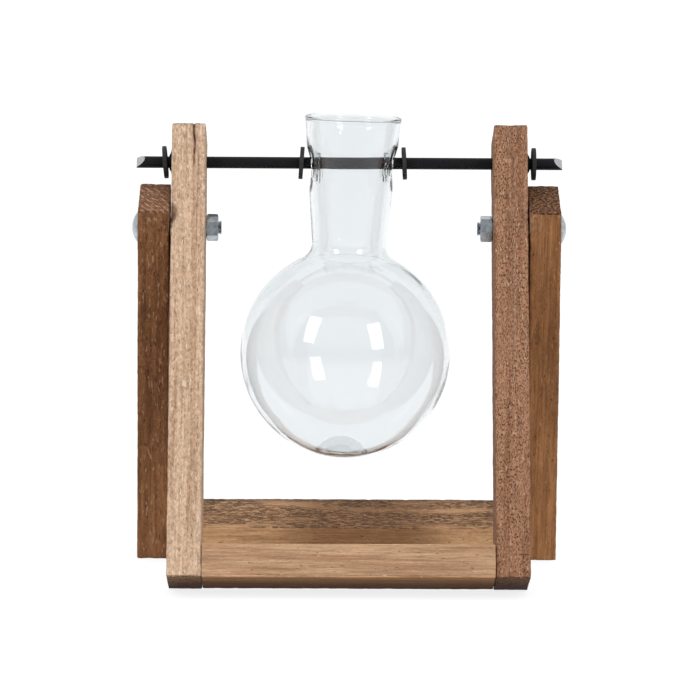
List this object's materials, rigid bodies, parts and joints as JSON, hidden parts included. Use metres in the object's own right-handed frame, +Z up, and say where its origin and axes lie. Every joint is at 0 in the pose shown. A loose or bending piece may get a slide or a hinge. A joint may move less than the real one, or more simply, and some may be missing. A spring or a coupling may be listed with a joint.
{
  "type": "propagation vase",
  "caption": "Glass bulb vase for rooting cuttings, hung by its neck on a steel rod in a folding A-frame of sawn wood.",
  "frame": {"origin": "on the ground, midway between the feet and straight below the axis of the pivot bolts", "axes": "+X along the rod and the pivot bolts to the right seen from the front, +Y from the front posts to the rear legs, +Z up"},
  "size_m": [0.184, 0.1315, 0.196],
  "materials": {
    "pale_wood": "sawn, pale tan, fine dark pores",
    "red_wood": "sawn, reddish brown, open pores",
    "tan_wood": "sawn, tan, straight grain",
    "dark_wood": "sawn, dark brown",
    "golden_wood": "sawn, golden brown",
    "brown_wood": "rough sawn on top, planed in front",
    "wire_steel": "dull wire",
    "zinc": "bright zinc plate",
    "black_steel": "satin black, bare at the sheared ends",
    "rubber": "matt black",
    "clear_glass": "clear, fire-polished rim"
  },
  "bodies": {
    "front_frame": {"front_upright_left": "pale_wood", "front_upright_right": "red_wood", "front_rail": "tan_wood", "front_rail_pins": "wire_steel", "rod_bush_left": "rubber", "rod_bush_right": "rubber"},
    "rear_frame": {"rear_leg_left": "dark_wood", "rear_leg_right": "golden_wood", "rear_rail": "brown_wood", "rear_rail_pins": "wire_steel", "pivot_bolt_left": "zinc", "pivot_bolt_right": "zinc", "pivot_nut_left": "zinc", "pivot_nut_right": "zinc"},
    "rod": {"hanging_rod": "black_steel"},
    "vase": {"glass_vase": "clear_glass"},
    "left_end_washer": {"end_washer_left": "rubber"},
    "right_end_washer": {"end_washer_right": "rubber"},
    "left_neck_washer": {"neck_washer_left": "rubber"},
    "right_neck_washer": {"neck_washer_right": "rubber"}
  },
  "joints": [
    {"name": "stand_fold", "type": "hinge", "parent": "front_frame", "child": "rear_frame", "pos_m": [0, 0, 0.14823], "axis": [1, 0, 0], "range_deg": [-27.8, 90.5]},
    {"name": "rod_turn", "type": "hinge", "parent": "front_frame", "child": "rod", "pos_m": [0, 0.00982, 0.1752], "axis": [1, 0, 0], "continuous": true},
    {"name": "vase_swing", "type": "hinge", "parent": "front_frame", "child": "vase", "pos_m": [0, 0.00982, 0.1752], "axis": [1, 0, 0], "range_deg": [-80, 80]},
    {"name": "left_end_washer_slide", "type": "slide", "parent": "rod", "child": "left_end_washer", "axis": [1, 0, 0], "range_m": [-0.0105, 0]},
    {"name": "right_end_washer_slide", "type": "slide", "parent": "rod", "child": "right_end_washer", "axis": [1, 0, 0], "range_m": [-0.0006, 0.011]},
    {"name": "left_neck_washer_slide", "type": "slide", "parent": "rod", "child": "left_neck_washer", "axis": [1, 0, 0], "range_m": [-0.0386, 0]},
    {"name": "right_neck_washer_slide", "type": "slide", "parent": "rod", "child": "right_neck_washer", "axis": [1, 0, 0], "range_m": [-0.0013, 0.0358]}
  ]
}
